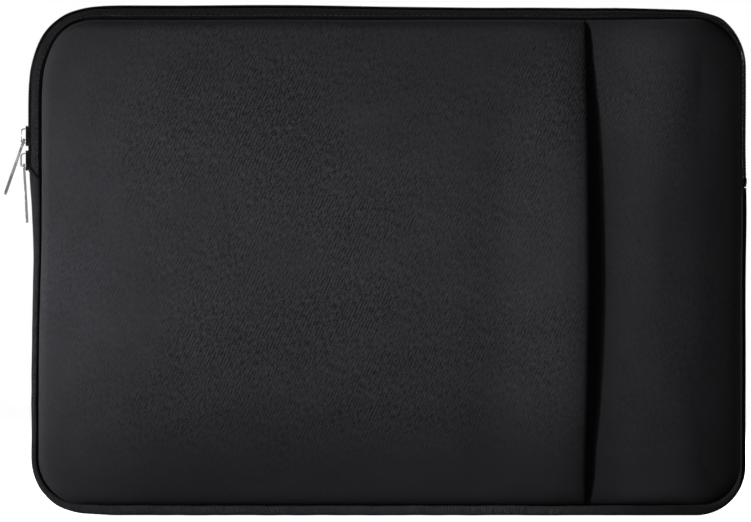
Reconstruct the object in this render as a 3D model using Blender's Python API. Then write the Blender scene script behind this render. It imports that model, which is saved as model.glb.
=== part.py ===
"""A padded laptop sleeve: two quilt-like walls of shell, foam and lining, joined round the bottom
by a gusset and round the top by a two-way zip, with a slip pocket on the front.

It stands on its bottom edge. X runs to the right, Z up, and the front faces -Y. The origin is the
middle of the flat foot of the gusset. The part of the front above the zip sliders is a flap that
folds forward about a level line, so each piece of the front wall is made as a lower and a flap half.
"""

import math

import bmesh
import bpy
from mathutils import Matrix, Vector

MM = 0.001
GAP = 0.3 * MM  # clearance between pieces that touch

# Outlines in the plane of the sleeve. The seam outline is where each wall is sewn to its band.
SEAM = {"left": -186.8 * MM, "right": 188.0 * MM, "bottom": 5.5 * MM, "top": 265.6 * MM, "radius": 25 * MM}
ZIP_RIDGE = {"left": -192.7 * MM, "right": 191.0 * MM, "bottom": 0.0, "top": 272.2 * MM, "radius": 33 * MM}
GUSSET_FACE = {"left": -190.9 * MM, "right": 190.7 * MM, "bottom": 0.0, "top": 272.2 * MM, "radius": 28 * MM}
CORNER_STEPS = 9

# Depths, measured from the middle of the sleeve towards the front or the back.
SHELL_FACE = 13.0 * MM
SHELL_THICKNESS = 1.0 * MM
FOAM_THICKNESS = 2.3 * MM
LINING_THICKNESS = 1.0 * MM
SEAM_DEPTH = 9.9 * MM
FOAM_FACE = SHELL_FACE - SHELL_THICKNESS - GAP
LINING_FACE = FOAM_FACE - FOAM_THICKNESS - GAP
CAVITY_HALF = LINING_FACE - LINING_THICKNESS

# Pocket
POCKET_GAP = 4.9 * MM
POCKET_THICKNESS = 1.6 * MM
POCKET_BACK = SHELL_FACE + POCKET_GAP
POCKET_FACE = POCKET_BACK + POCKET_THICKNESS
POCKET_MOUTH_X = 107.0 * MM

# Fold of the flap
FOLD_Z = 212.0 * MM
FOLD_CUT = 0.5 * MM
FOLD_DEPTH = POCKET_FACE + 0.5 * MM

# Zip
ZIP_END_LEFT = 183.2 * MM
ZIP_END_RIGHT = 175.4 * MM
END_GAP = 0.6 * MM
COIL_HEIGHT = 2.0 * MM
COIL_REACH = 3.1 * MM
COIL_SPREAD = 0.6 * MM
TAPE_THICKNESS = 0.6 * MM
TAPE_FACE = -(COIL_HEIGHT + GAP)
TAPE_BACK = TAPE_FACE - TAPE_THICKNESS

# Stop clamped over the right end of the zip
STOP_Z = (177.2 * MM, 180.2 * MM)
STOP_HALF_WIDTH = 3.6 * MM
STOP_THICKNESS = 0.9 * MM

# Sliders: outward sizes are counted from the ridge of the zip
UPPER_SLIDER_Z = 202.8 * MM
LOWER_SLIDER_Z = 189.6 * MM
SLIDER_LENGTH = 10.8 * MM
SLIDER_MOUTH_HALF_WIDTH = 4.5 * MM
SLIDER_TAIL_HALF_WIDTH = 4.1 * MM
SLIDER_CORNER = 1.2 * MM
CHANNEL_HALF_WIDTH = COIL_REACH + 0.4 * MM
TOP_PLATE = (0.3 * MM, 1.0 * MM)
BOTTOM_PLATE = (TAPE_BACK - GAP - 1.1 * MM, TAPE_BACK - GAP)
FLANGE_END = TAPE_FACE + 0.35 * MM
POST_HALF_WIDTH = 0.3 * MM
POST_LENGTH = 3.0 * MM
EDGE_ROUNDING = 0.15 * MM

# The bridge is the strap on a slider that its pull tab hangs from
BRIDGE_FOOT = TOP_PLATE[1] + GAP
BRIDGE_INNER = 3.2 * MM
BRIDGE_OUTER = 4.0 * MM
BRIDGE_STRAP = BRIDGE_OUTER - BRIDGE_INNER
BRIDGE_HALF_LENGTH = 4.2 * MM
BRIDGE_HALF_WIDTH = 0.5 * MM
BRIDGE_ROUNDING = 2.0 * MM

# Pull tabs: lengths are counted from the axis that the tab swings about
PULL_AXIS_OUT = 2.1 * MM
PULL_AXIS_DROP = 2.3 * MM
PULL_HALF_THICKNESS = 0.6 * MM
PULL_BAR = 0.6 * MM
PULL_EYE_HALF_WIDTH = 1.45 * MM
PULL_EYE_END = 2.8 * MM
PULL_LENGTH = 31.0 * MM
# Half widths of the tab at distances below its axis, from the head over the waist to the tip
PULL_SIDE = (
    (1.5 * MM, -0.6 * MM),
    (1.9 * MM, -0.2 * MM),
    (1.9 * MM, 2.6 * MM),
    (1.6 * MM, 3.3 * MM),
    (0.9 * MM, 4.0 * MM),
    (0.9 * MM, 6.8 * MM),
    (1.2 * MM, 9.6 * MM),
    (1.7 * MM, 13.0 * MM),
    (2.2 * MM, 20.0 * MM),
    (2.2 * MM, 29.2 * MM),
    (1.7 * MM, 30.5 * MM),
    (0.8 * MM, PULL_LENGTH),
)

# How each pull hangs: outward lean, sideways tilt (front negative) and shift along its bridge
UPPER_PULL = (math.radians(18.5), math.radians(-10), -0.38 * MM)
LOWER_PULL = (math.radians(-3), math.radians(3), 0.70 * MM)

# Colour, roughness and metallic value of each material
MATERIALS = {
    "neoprene": ((0.030, 0.030, 0.033), 0.75, 0.0),
    "foam": ((0.10, 0.10, 0.11), 0.9, 0.0),
    "plush": ((0.022, 0.022, 0.024), 0.95, 0.0),
    "tape": ((0.012, 0.012, 0.013), 0.8, 0.0),
    "coil": ((0.008, 0.008, 0.009), 0.4, 0.0),
    "nickel": ((0.80, 0.79, 0.77), 0.18, 1.0),
}


def clear_scene():
    for obj in list(bpy.data.objects):
        bpy.data.objects.remove(obj, do_unlink=True)


def make_materials():
    for name, (colour, roughness, metallic) in MATERIALS.items():
        made = bpy.data.materials.new(name)
        made.use_nodes = True
        shader = made.node_tree.nodes["Principled BSDF"]
        shader.inputs["Base Color"].default_value = (*colour, 1)
        shader.inputs["Roughness"].default_value = roughness
        shader.inputs["Metallic"].default_value = metallic


def finish_object(name, bm, material):
    """Turns a bmesh into a smooth-shaded object of one material."""
    bmesh.ops.recalc_face_normals(bm, faces=bm.faces[:])
    mesh = bpy.data.meshes.new(name)
    bm.to_mesh(mesh)
    bm.free()
    mesh.materials.append(bpy.data.materials[material])
    mesh.shade_smooth()
    mesh.set_sharp_from_angle(angle=math.radians(35))
    obj = bpy.data.objects.new(name, mesh)
    bpy.context.scene.collection.objects.link(obj)
    return obj


# ---- Outlines: a station is a side and a height, or a corner and an angle ----

CORNERS = {
    "top_left": ("left", "top"),
    "top_right": ("right", "top"),
    "bottom_left": ("left", "bottom"),
    "bottom_right": ("right", "bottom"),
}


def arc(corner, start, end):
    turn = (end - start) / CORNER_STEPS
    return [(corner, math.radians(start + turn * i)) for i in range(CORNER_STEPS + 1)]


def over_top(z_left, z_right):
    return [("left", z_left), *arc("top_left", 180, 90), *arc("top_right", 90, 0), ("right", z_right)]


def under_bottom(z_left, z_right):
    return [
        ("left", z_left),
        *arc("bottom_left", 180, 270),
        *arc("bottom_right", 270, 360),
        ("right", z_right),
    ]


def all_round():
    return [
        *arc("top_left", 180, 90),
        *arc("top_right", 90, 0),
        *arc("bottom_right", 360, 270),
        *arc("bottom_left", 270, 180),
    ]


def place(outline, station):
    """The point of an outline at a station, and the outward direction there."""
    where, value = station
    if where in ("left", "right"):
        return Vector((outline[where], 0, value)), Vector((-1 if where == "left" else 1, 0, 0))
    side, end = CORNERS[where]
    radius = outline["radius"]
    centre_x = outline[side] + (radius if side == "left" else -radius)
    centre_z = outline[end] + (radius if end == "bottom" else -radius)
    outward = Vector((math.cos(value), 0, math.sin(value)))
    return Vector((centre_x, 0, centre_z)) + outward * radius, outward


def band_point(outline, station, share, offset, depth):
    """A point between the seam, at share 0, and another outline, at share 1, moved outward by offset."""
    seam, outward = place(SEAM, station)
    edge, _ = place(outline, station)
    point = seam.lerp(edge, share) + outward * offset
    point.y = depth
    return point


def join_rings(bm, rings, closed_path):
    """Faces between neighbouring rings of vertices, and an end face at each end of an open path."""
    pairs = list(zip(rings, rings[1:] + rings[:1] if closed_path else rings[1:]))
    for ring, after in pairs:
        for i in range(len(ring)):
            j = (i + 1) % len(ring)
            bm.faces.new((ring[i], ring[j], after[j], after[i]))
    if not closed_path:
        bm.faces.new(rings[0])
        bm.faces.new(rings[-1])


def sweep(name, stations, outline, profile, material, closed_path=False):
    """A strip that carries a closed profile of (share, offset, depth) along the stations."""
    bm = bmesh.new()
    rings = [[bm.verts.new(band_point(outline, s, *p)) for p in profile] for s in stations]
    join_rings(bm, rings, closed_path)
    return finish_object(name, bm, material)


def plate_mesh(profile):
    """A wall panel: rings of the seam outline at each (inset, depth), closed by a flat face at both ends."""
    bm = bmesh.new()
    rings = []
    for inset, depth in profile:
        rings.append([bm.verts.new(band_point(SEAM, s, 0, -inset, depth)) for s in all_round()])
    join_rings(bm, rings, closed_path=False)
    return bm


def keep_side(bm, point, outward):
    """Cuts off what lies past a plane and closes the cut."""
    everything = bm.verts[:] + bm.edges[:] + bm.faces[:]
    bmesh.ops.bisect_plane(
        bm, geom=everything, plane_co=point, plane_no=outward, dist=1e-7, clear_outer=True
    )
    bmesh.ops.holes_fill(bm, edges=[e for e in bm.edges if e.is_boundary])


def keep_lower(bm):
    keep_side(bm, (0, 0, FOLD_Z - FOLD_CUT), (0, 0, 1))


def keep_flap(bm):
    keep_side(bm, (0, 0, FOLD_Z + FOLD_CUT), (0, 0, -1))


def at_front(profile):
    return [(inset, -depth) for inset, depth in profile]


def box_mesh(low, high):
    bm = bmesh.new()
    bmesh.ops.create_cube(bm, size=1)
    size = Vector(high) - Vector(low)
    middle = (Vector(high) + Vector(low)) / 2
    placed = Matrix.Translation(middle) @ Matrix.Diagonal((*size, 1))
    bmesh.ops.transform(bm, matrix=placed, verts=bm.verts[:])
    return bm


def prism_mesh(outline, axis, low, high):
    """Extrudes an outline of points in the plane across the axis, in X, Y, Z order, from low to high."""
    bm = bmesh.new()

    def ring(level):
        return [bm.verts.new(p[:axis] + (level,) + p[axis:]) for p in outline]

    join_rings(bm, [ring(low), ring(high)], closed_path=False)
    return bm


# ---- Walls ----


def shell_profile():
    """Outer face, rolled edge and inner face of a wall's shell, as (inset from the seam, depth)."""
    inner = SHELL_FACE - SHELL_THICKNESS
    return [
        (18.0 * MM, SHELL_FACE),
        (10.0 * MM, SHELL_FACE - 0.2 * MM),
        (5.5 * MM, SHELL_FACE - 0.7 * MM),
        (2.6 * MM, SHELL_FACE - 1.4 * MM),
        (1.0 * MM, SHELL_FACE - 2.1 * MM),
        (0.3 * MM, SEAM_DEPTH + GAP),
        (1.4 * MM, SEAM_DEPTH + GAP),
        (3.4 * MM, inner - 1.05 * MM),
        (6.0 * MM, inner - 0.65 * MM),
        (10.3 * MM, inner - 0.2 * MM),
        (18.0 * MM, inner),
    ]


def foam_profile():
    inner = FOAM_FACE - FOAM_THICKNESS
    return [
        (18.0 * MM, FOAM_FACE),
        (10.5 * MM, FOAM_FACE - 0.2 * MM),
        (6.4 * MM, FOAM_FACE - 0.65 * MM),
        (4.0 * MM, FOAM_FACE - 1.1 * MM),
        (3.2 * MM, FOAM_FACE - 1.4 * MM),
        (3.2 * MM, inner + 0.3 * MM),
        (5.0 * MM, inner),
    ]


def lining_profile():
    return [(1.2 * MM, LINING_FACE), (0.8 * MM, LINING_FACE - 0.4 * MM), (0.8 * MM, CAVITY_HALF)]


WALL_LAYERS = (
    ("shell", shell_profile, "neoprene"),
    ("foam", foam_profile, "foam"),
    ("lining", lining_profile, "plush"),
)


def make_back_wall():
    for layer, profile, material in WALL_LAYERS:
        finish_object(f"back_{layer}", plate_mesh(profile()), material)


def make_front_wall():
    for layer, profile, material in WALL_LAYERS:
        for half, keep in (("lower", keep_lower), ("flap", keep_flap)):
            bm = plate_mesh(at_front(profile()))
            keep(bm)
            finish_object(f"front_{layer}_{half}", bm, material)


def pocket_profile():
    """The pocket panel: sewn over the front shell at the seam, and standing off it inside."""
    return [
        (20.0 * MM, POCKET_FACE),
        (14.0 * MM, POCKET_FACE - 0.5 * MM),
        (8.5 * MM, POCKET_FACE - 2.0 * MM),
        (4.0 * MM, POCKET_FACE - 4.5 * MM),
        (1.2 * MM, POCKET_FACE - 6.9 * MM),
        (0.3 * MM, POCKET_FACE - 7.9 * MM),
        (0.3 * MM, POCKET_FACE - 8.6 * MM),
        (1.8 * MM, POCKET_FACE - 8.1 * MM),
        (4.9 * MM, POCKET_BACK - 4.2 * MM),
        (9.3 * MM, POCKET_BACK - 1.9 * MM),
        (14.4 * MM, POCKET_BACK - 0.5 * MM),
        (20.0 * MM, POCKET_BACK),
    ]


def make_pocket():
    for half, keep in (("lower", keep_lower), ("flap", keep_flap)):
        bm = plate_mesh(at_front(pocket_profile()))
        keep_side(bm, (POCKET_MOUTH_X, 0, 0), (1, 0, 0))
        keep(bm)
        finish_object(f"pocket_panel_{half}", bm, "neoprene")


# ---- Gusset, binding and zip ----


def make_gusset():
    half = [
        (0, -1.5 * MM, -SEAM_DEPTH),
        (0, 0.3 * MM, -SEAM_DEPTH),
        (0.5, 0.3 * MM, -SEAM_DEPTH + 0.6 * MM),
        (0.85, 0.2 * MM, -SEAM_DEPTH + 1.4 * MM),
        (1, 0, -SEAM_DEPTH + 2.5 * MM),
    ]
    inner_half = [
        (1, -1.4 * MM, SEAM_DEPTH - 3.2 * MM),
        (0.85, -1.2 * MM, SEAM_DEPTH - 2.3 * MM),
        (0.5, -0.9 * MM, SEAM_DEPTH - 1.4 * MM),
        (0, -0.4 * MM, SEAM_DEPTH - 0.6 * MM),
        (0, -1.5 * MM, SEAM_DEPTH - 0.5 * MM),
    ]
    profile = half + [(s, o, -d) for s, o, d in reversed(half)]
    profile += list(reversed(inner_half)) + [(s, o, -d) for s, o, d in inner_half]
    path = under_bottom(ZIP_END_LEFT - END_GAP, ZIP_END_RIGHT - END_GAP)
    sweep("gusset_shell", path, GUSSET_FACE, profile, "neoprene")
    lining_half_width = 5.8 * MM
    lining = [
        (1, -1.4 * MM - GAP, -lining_half_width),
        (1, -1.4 * MM - GAP, lining_half_width),
        (1, -2.2 * MM - GAP, lining_half_width),
        (1, -2.2 * MM - GAP, -lining_half_width),
    ]
    sweep("gusset_lining", path, GUSSET_FACE, lining, "plush")


def binding_profile(sign):
    """The bias tape that wraps the raw edges inside the seam."""
    outer = CAVITY_HALF - GAP
    return [
        (0, -3.5 * MM, sign * (outer - 0.3 * MM)),
        (0, -3.2 * MM, sign * outer),
        (0, -1.2 * MM, sign * outer),
        (0, -0.9 * MM, sign * (outer - 0.6 * MM)),
        (0, -1.4 * MM, sign * (outer - 2.1 * MM)),
        (0, -3.1 * MM, sign * (outer - 2.1 * MM)),
    ]


def make_bindings():
    sweep("seam_binding_back", all_round(), SEAM, binding_profile(1), "tape", closed_path=True)
    lower = FOLD_Z - FOLD_CUT
    sweep("seam_binding_front_lower", under_bottom(lower, lower), SEAM, binding_profile(-1), "tape")
    above = FOLD_Z + FOLD_CUT
    sweep("seam_binding_front_flap", over_top(above, above), SEAM, binding_profile(-1), "tape")


def tape_profile(sign):
    """Zip tape from its seam allowance, over the edge of the sleeve, to just short of the middle."""
    return [
        (0, -1.5 * MM, sign * SEAM_DEPTH),
        (0, 0.3 * MM, sign * SEAM_DEPTH),
        (0.5, 0, sign * (SEAM_DEPTH - 1.3 * MM)),
        (1, TAPE_FACE, sign * 5.6 * MM),
        (1, TAPE_FACE, sign * COIL_SPREAD),
        (1, TAPE_BACK, sign * COIL_SPREAD),
        (1, TAPE_BACK, sign * 5.3 * MM),
        (0.5, -0.6 * MM, sign * (SEAM_DEPTH - 1.8 * MM)),
        (0, -0.2 * MM, sign * (SEAM_DEPTH - 0.55 * MM)),
        (0, -1.5 * MM, sign * (SEAM_DEPTH - 0.5 * MM)),
    ]


def coil_profile(sign):
    return [
        (1, -COIL_HEIGHT, sign * COIL_REACH),
        (1, -COIL_HEIGHT, sign * COIL_SPREAD),
        (1, -0.2 * MM, sign * COIL_SPREAD),
        (1, 0, sign * (COIL_SPREAD + 0.3 * MM)),
        (1, 0, sign * (COIL_REACH - 0.6 * MM)),
        (1, -0.6 * MM, sign * COIL_REACH),
    ]


def make_zip_chain():
    """The back half runs from end to end. The front half is cut where the flap folds."""
    below = FOLD_Z - FOLD_CUT
    above = FOLD_Z + FOLD_CUT
    runs = {
        "back": (over_top(ZIP_END_LEFT, ZIP_END_RIGHT), 1),
        "front_flap": (over_top(above, above), -1),
        "front_left": ([("left", ZIP_END_LEFT), ("left", below)], -1),
        "front_right": ([("right", ZIP_END_RIGHT), ("right", below)], -1),
    }
    for run, (path, sign) in runs.items():
        sweep(f"zip_tape_{run}", path, ZIP_RIDGE, tape_profile(sign), "tape")
        sweep(f"zip_coil_{run}", path, ZIP_RIDGE, coil_profile(sign), "coil")


def make_stop():
    profile = [
        (1, GAP, -STOP_HALF_WIDTH),
        (1, STOP_THICKNESS * 0.6, -STOP_HALF_WIDTH),
        (1, STOP_THICKNESS, -STOP_HALF_WIDTH + 0.8 * MM),
        (1, STOP_THICKNESS, STOP_HALF_WIDTH - 0.8 * MM),
        (1, STOP_THICKNESS * 0.6, STOP_HALF_WIDTH),
        (1, GAP, STOP_HALF_WIDTH),
    ]
    path = [("right", STOP_Z[0]), ("right", STOP_Z[1])]
    sweep("zip_stop_right", path, ZIP_RIDGE, profile, "coil")


# ---- Sliders and pull tabs: they sit on the left edge, so outward is -X ----


def ridge_x(outward):
    return ZIP_RIDGE["left"] - outward


def add_boolean(target, other, operation):
    """Joins or cuts the target with a helper, which leaves the render."""
    modifier = target.modifiers.new(operation.lower(), "BOOLEAN")
    modifier.operation = operation
    modifier.object = other
    other.hide_render = True
    other.display_type = "WIRE"


def add_edge_rounding(obj):
    modifier = obj.modifiers.new("edges", "BEVEL")
    modifier.width = EDGE_ROUNDING
    modifier.segments = 2
    modifier.limit_method = "ANGLE"
    modifier.angle_limit = math.radians(50)
    modifier.use_clamp_overlap = True


def slider_outline(centre_z, mouth_side):
    """Plan of a slider as (y, z): wide at the mouth, where the two coils part, and narrower at the tail."""
    half = SLIDER_LENGTH / 2
    mouth = SLIDER_MOUTH_HALF_WIDTH
    tail = SLIDER_TAIL_HALF_WIDTH
    side = [
        (mouth - SLIDER_CORNER, half),
        (mouth - 0.3 * SLIDER_CORNER, half - 0.3 * SLIDER_CORNER),
        (mouth, half - SLIDER_CORNER),
        (mouth, 0.15 * half),
        (tail, -0.35 * half),
        (tail, -half + SLIDER_CORNER),
        (tail - 0.3 * SLIDER_CORNER, -half + 0.3 * SLIDER_CORNER),
        (tail - SLIDER_CORNER, -half),
    ]
    outline = side + [(-y, z) for y, z in reversed(side)]
    return [(y, centre_z + mouth_side * z) for y, z in outline]


def slider_block(name, centre_z, mouth_side, inner, outer):
    bm = prism_mesh(slider_outline(centre_z, mouth_side), 0, ridge_x(outer), ridge_x(inner))
    return finish_object(name, bm, "nickel")


def make_slider(level, centre_z, mouth_side):
    """A die-cast slider: a channel over the coils, a plate under the tapes and the post that parts them."""
    name = f"{level}_slider_body"
    body = slider_block(name, centre_z, mouth_side, FLANGE_END, TOP_PLATE[1])
    plate = slider_block(f"{name}_plate", centre_z, mouth_side, *BOTTOM_PLATE)
    past_end = SLIDER_LENGTH
    channel_low = (ridge_x(TOP_PLATE[0]), -CHANNEL_HALF_WIDTH, centre_z - past_end)
    channel_high = (ridge_x(2 * FLANGE_END), CHANNEL_HALF_WIDTH, centre_z + past_end)
    channel = finish_object(f"{name}_channel", box_mesh(channel_low, channel_high), "nickel")
    mouth_z = centre_z + mouth_side * (SLIDER_LENGTH / 2 - POST_LENGTH / 2 - 0.5 * MM)
    post_low = (ridge_x(TOP_PLATE[0] + 0.4 * MM), -POST_HALF_WIDTH, mouth_z - POST_LENGTH / 2)
    post_high = (ridge_x(BOTTOM_PLATE[1] - 0.5 * MM), POST_HALF_WIDTH, mouth_z + POST_LENGTH / 2)
    post = finish_object(f"{name}_post", box_mesh(post_low, post_high), "nickel")
    add_boolean(body, channel, "DIFFERENCE")
    add_boolean(body, post, "UNION")
    add_boolean(body, plate, "UNION")
    add_edge_rounding(body)


def bridge_side(outer, half_length, rounding):
    """One side of the bridge's arch, from its lower foot to its upper foot, as (outward, height)."""
    steps = 4
    points = [(BRIDGE_FOOT, -half_length)]
    for sign in (-1, 1):
        for i in range(steps + 1):
            angle = math.pi / 2 * (i / steps if sign < 0 else 1 - i / steps)
            outward = outer - rounding + rounding * math.sin(angle)
            height = half_length - rounding + rounding * math.cos(angle)
            points.append((outward, sign * height))
    points.append((BRIDGE_FOOT, half_length))
    return points


def make_bridge(level, centre_z):
    outside = bridge_side(BRIDGE_OUTER, BRIDGE_HALF_LENGTH, BRIDGE_ROUNDING)
    inside = bridge_side(BRIDGE_INNER, BRIDGE_HALF_LENGTH - BRIDGE_STRAP, BRIDGE_ROUNDING - BRIDGE_STRAP)
    outline = [(ridge_x(out), centre_z + height) for out, height in outside + inside[::-1]]
    bm = prism_mesh(outline, 1, -BRIDGE_HALF_WIDTH, BRIDGE_HALF_WIDTH)
    bridge = finish_object(f"{level}_slider_bridge", bm, "nickel")
    add_edge_rounding(bridge)


def make_pull(level, slider_z, lean, tilt, shift):
    """A pull tab with an eye that goes round the bridge. Its origin is on the axis it swings about."""
    name = f"{level}_pull_tab"
    outline = [(width, -below) for width, below in PULL_SIDE]
    outline += [(-width, z) for width, z in reversed(outline)]
    bm = prism_mesh(outline, 0, -PULL_HALF_THICKNESS, PULL_HALF_THICKNESS)
    pull = finish_object(name, bm, "nickel")
    eye_low = (-2 * PULL_HALF_THICKNESS, -PULL_EYE_HALF_WIDTH, -PULL_EYE_END)
    eye_high = (2 * PULL_HALF_THICKNESS, PULL_EYE_HALF_WIDTH, -PULL_BAR)
    eye = finish_object(f"{name}_eye", box_mesh(eye_low, eye_high), "nickel")
    eye.parent = pull
    add_boolean(pull, eye, "DIFFERENCE")
    add_edge_rounding(pull)
    pull.location = (ridge_x(PULL_AXIS_OUT), shift, slider_z - PULL_AXIS_DROP)
    pull.rotation_mode = "ZYX"
    pull.rotation_euler = (tilt, lean, 0)


def add_pivot(name, location, carried, parent=None):
    """An empty on a joint's axis that carries the pieces that move about it or along it."""
    pivot = bpy.data.objects.new(name, None)
    bpy.context.scene.collection.objects.link(pivot)
    pivot.location = location
    bpy.context.view_layer.update()
    for obj in [bpy.data.objects[piece] for piece in carried]:
        obj.parent = pivot
        obj.matrix_parent_inverse = pivot.matrix_world.inverted()
    if parent:
        pivot.parent = parent
        pivot.matrix_parent_inverse = parent.matrix_world.inverted()
    return pivot


def add_pivots():
    """The flap turns about its fold, and the upper slider rides on the lower one up the zip."""
    flap = [obj.name for obj in bpy.data.objects if obj.name.endswith("_flap")]
    add_pivot("flap_fold", (0, -FOLD_DEPTH, FOLD_Z), flap)
    lower_slider = None
    for level, centre_z in (("lower", LOWER_SLIDER_Z), ("upper", UPPER_SLIDER_Z)):
        pieces = [f"{level}_slider_body", f"{level}_slider_bridge", f"{level}_pull_tab"]
        location = (ridge_x(0), 0, centre_z)
        lower_slider = add_pivot(f"{level}_slider_slide", location, pieces, lower_slider)


def main():
    clear_scene()
    make_materials()
    make_back_wall()
    make_front_wall()
    make_pocket()
    make_gusset()
    make_bindings()
    make_zip_chain()
    make_stop()
    for level, centre_z, mouth_side, hang in (
        ("upper", UPPER_SLIDER_Z, -1, UPPER_PULL),
        ("lower", LOWER_SLIDER_Z, 1, LOWER_PULL),
    ):
        make_slider(level, centre_z, mouth_side)
        make_bridge(level, centre_z)
        make_pull(level, centre_z, *hang)
    add_pivots()


main()
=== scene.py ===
"""Looks for a padded laptop sleeve: neoprene walls, a slip pocket, a coil zip and its two sliders.

Lengths are in metres in the CAD's frame: X to the right, Z up, and the front faces -Y.
"""

import math
from contextlib import contextmanager

import bmesh
import bpy
import numpy as np
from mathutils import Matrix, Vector, noise


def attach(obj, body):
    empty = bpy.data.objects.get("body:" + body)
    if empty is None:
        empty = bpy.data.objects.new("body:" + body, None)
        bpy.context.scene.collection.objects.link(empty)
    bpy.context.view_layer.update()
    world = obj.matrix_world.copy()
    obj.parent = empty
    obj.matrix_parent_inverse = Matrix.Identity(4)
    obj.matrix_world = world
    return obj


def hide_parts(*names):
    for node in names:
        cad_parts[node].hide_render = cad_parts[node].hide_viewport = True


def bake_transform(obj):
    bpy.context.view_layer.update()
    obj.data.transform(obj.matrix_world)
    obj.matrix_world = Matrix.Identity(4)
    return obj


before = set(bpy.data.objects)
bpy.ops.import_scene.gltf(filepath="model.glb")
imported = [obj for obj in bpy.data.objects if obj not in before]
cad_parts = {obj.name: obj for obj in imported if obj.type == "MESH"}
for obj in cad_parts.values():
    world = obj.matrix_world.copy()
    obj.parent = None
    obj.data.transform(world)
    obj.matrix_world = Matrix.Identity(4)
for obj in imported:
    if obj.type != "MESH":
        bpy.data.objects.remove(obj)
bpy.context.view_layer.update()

MM = 0.001
SLEEVE, FLAP = "sleeve", "flap"

# ---- Sizes ----

# An outline is its left, right, bottom and top, and the radii of its corners: top left, top right,
# bottom right and bottom left
SEAM = (-186.6 * MM, 188.7 * MM, 5.6 * MM, 265.6 * MM, (30.5 * MM, 25 * MM, 22 * MM, 25 * MM))
ZIP_RIDGE = (-192.7 * MM, 191.6 * MM, 0.0, 272.2 * MM, (36.2 * MM, 32.4 * MM, 27 * MM, 30 * MM))
GUSSET_FACE = (
    -190.5 * MM, 191.2 * MM, 0.0, 272.2 * MM, (36.2 * MM, 32.4 * MM, 26.5 * MM, 30.5 * MM)
)

SEAM_DEPTH = 7.1 * MM
SHELL_FACE = 13.0 * MM
SHELL_THICKNESS = 1.0 * MM
FOAM_THICKNESS = 2.0 * MM
LINING_THICKNESS = 0.8 * MM
POCKET_THICKNESS = 1.5 * MM
POCKET_STAND = 10.3 * MM
POCKET_MOUTH_X = 106.2 * MM

# Heights at which the zip and the gusset end, and how far the zip's tape goes on under the gusset
ZIP_END_LEFT = 183.2 * MM
ZIP_END_RIGHT = 175.4 * MM
GUSSET_END_LEFT = 182.7 * MM
GUSSET_END_RIGHT = 174.9 * MM
TAPE_TUCK = 5 * MM

TOOTH_PITCH = 1.68 * MM
STITCH_PITCH = 2.9 * MM

# The front wall folds between these heights
FOLD_ROWS = np.arange(0.209, 0.241, 0.002)


# ---- Outlines ----
#
# A station is a place on an outline: a side with a height, a side with a share of its straight
# length, or a corner with an angle.

# Which entries of an outline each corner uses: its side, its end and its radius
CORNER_SIDES = {"tl": (0, 3, 0), "tr": (1, 3, 1), "br": (1, 2, 2), "bl": (0, 2, 3)}


def inset_outline(outline, inset):
    left, right, bottom, top, radii = outline
    smaller = tuple(max(r - inset, 2 * MM) for r in radii)
    return (left + inset, right - inset, bottom + inset, top - inset, smaller)


def place(outline, station):
    """The (x, z) of an outline at a station, and the outward direction there."""
    where, value = station
    left, right, bottom, top, radii = outline
    if where == "left":
        return (left, value), (-1, 0)
    if where == "right":
        return (right, value), (1, 0)
    if where == "left_share":
        low, high = bottom + radii[3], top - radii[0]
        return (left, low + (high - low) * value), (-1, 0)
    if where == "right_share":
        low, high = bottom + radii[2], top - radii[1]
        return (right, low + (high - low) * value), (1, 0)
    if where == "top":
        low, high = left + radii[0], right - radii[1]
        return (low + (high - low) * value, top), (0, 1)
    if where == "bottom":
        low, high = left + radii[3], right - radii[2]
        return (low + (high - low) * value, bottom), (0, -1)
    side, end, corner = CORNER_SIDES[where]
    radius = radii[corner]
    centre_x = outline[side] + (radius if side == 0 else -radius)
    centre_z = outline[end] + (radius if end == 2 else -radius)
    out = (math.cos(value), math.sin(value))
    return (centre_x + radius * out[0], centre_z + radius * out[1]), out


def arc(corner, start, end, steps):
    return [(corner, math.radians(start + (end - start) * i / steps)) for i in range(steps + 1)]


def run(where, start, end, steps):
    return [(where, start + (end - start) * i / steps) for i in range(1, steps)]


def zip_path(step=2 * MM, tuck=0.0):
    """Stations along the zip, from its left end over the top to its right end.

    tuck carries both ends on under the gusset.
    """
    left_end, right_end = ZIP_END_LEFT - tuck, ZIP_END_RIGHT - tuck
    return [
        ("left", left_end),
        *run("left", left_end, 235 * MM, round((235 * MM - left_end) / step)),
        *arc("tl", 180, 90, 20),
        *run("top", 0, 1, 120),
        *arc("tr", 90, 0, 20),
        *run("right", 239 * MM, right_end, round((239 * MM - right_end) / step)),
        ("right", right_end),
    ]


def gusset_path():
    return [
        ("left", GUSSET_END_LEFT),
        *run("left", GUSSET_END_LEFT, 31 * MM, 60),
        *arc("bl", 180, 270, 18),
        *run("bottom", 0, 1, 130),
        *arc("br", 270, 360, 18),
        *run("right", 29 * MM, GUSSET_END_RIGHT, 58),
        ("right", GUSSET_END_RIGHT),
    ]


# ---- The sag and stretch that all soft pieces share, so that they stay together ----


def smooth(value, low, high):
    t = np.clip((value - low) / (high - low), 0, 1)
    return t * t * (3 - 2 * t)


def bump(value, centre, width):
    return np.exp(-(((value - centre) / width) ** 2))


def noise_at(points, wavelength, seed):
    offset = Vector((seed * 7.3, seed * 3.1, seed * 5.7))
    return np.array([noise.noise(Vector(p) / wavelength + offset) for p in points])


PINCH = 0.32  # how much of its depth the sleeve loses at its right end


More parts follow.
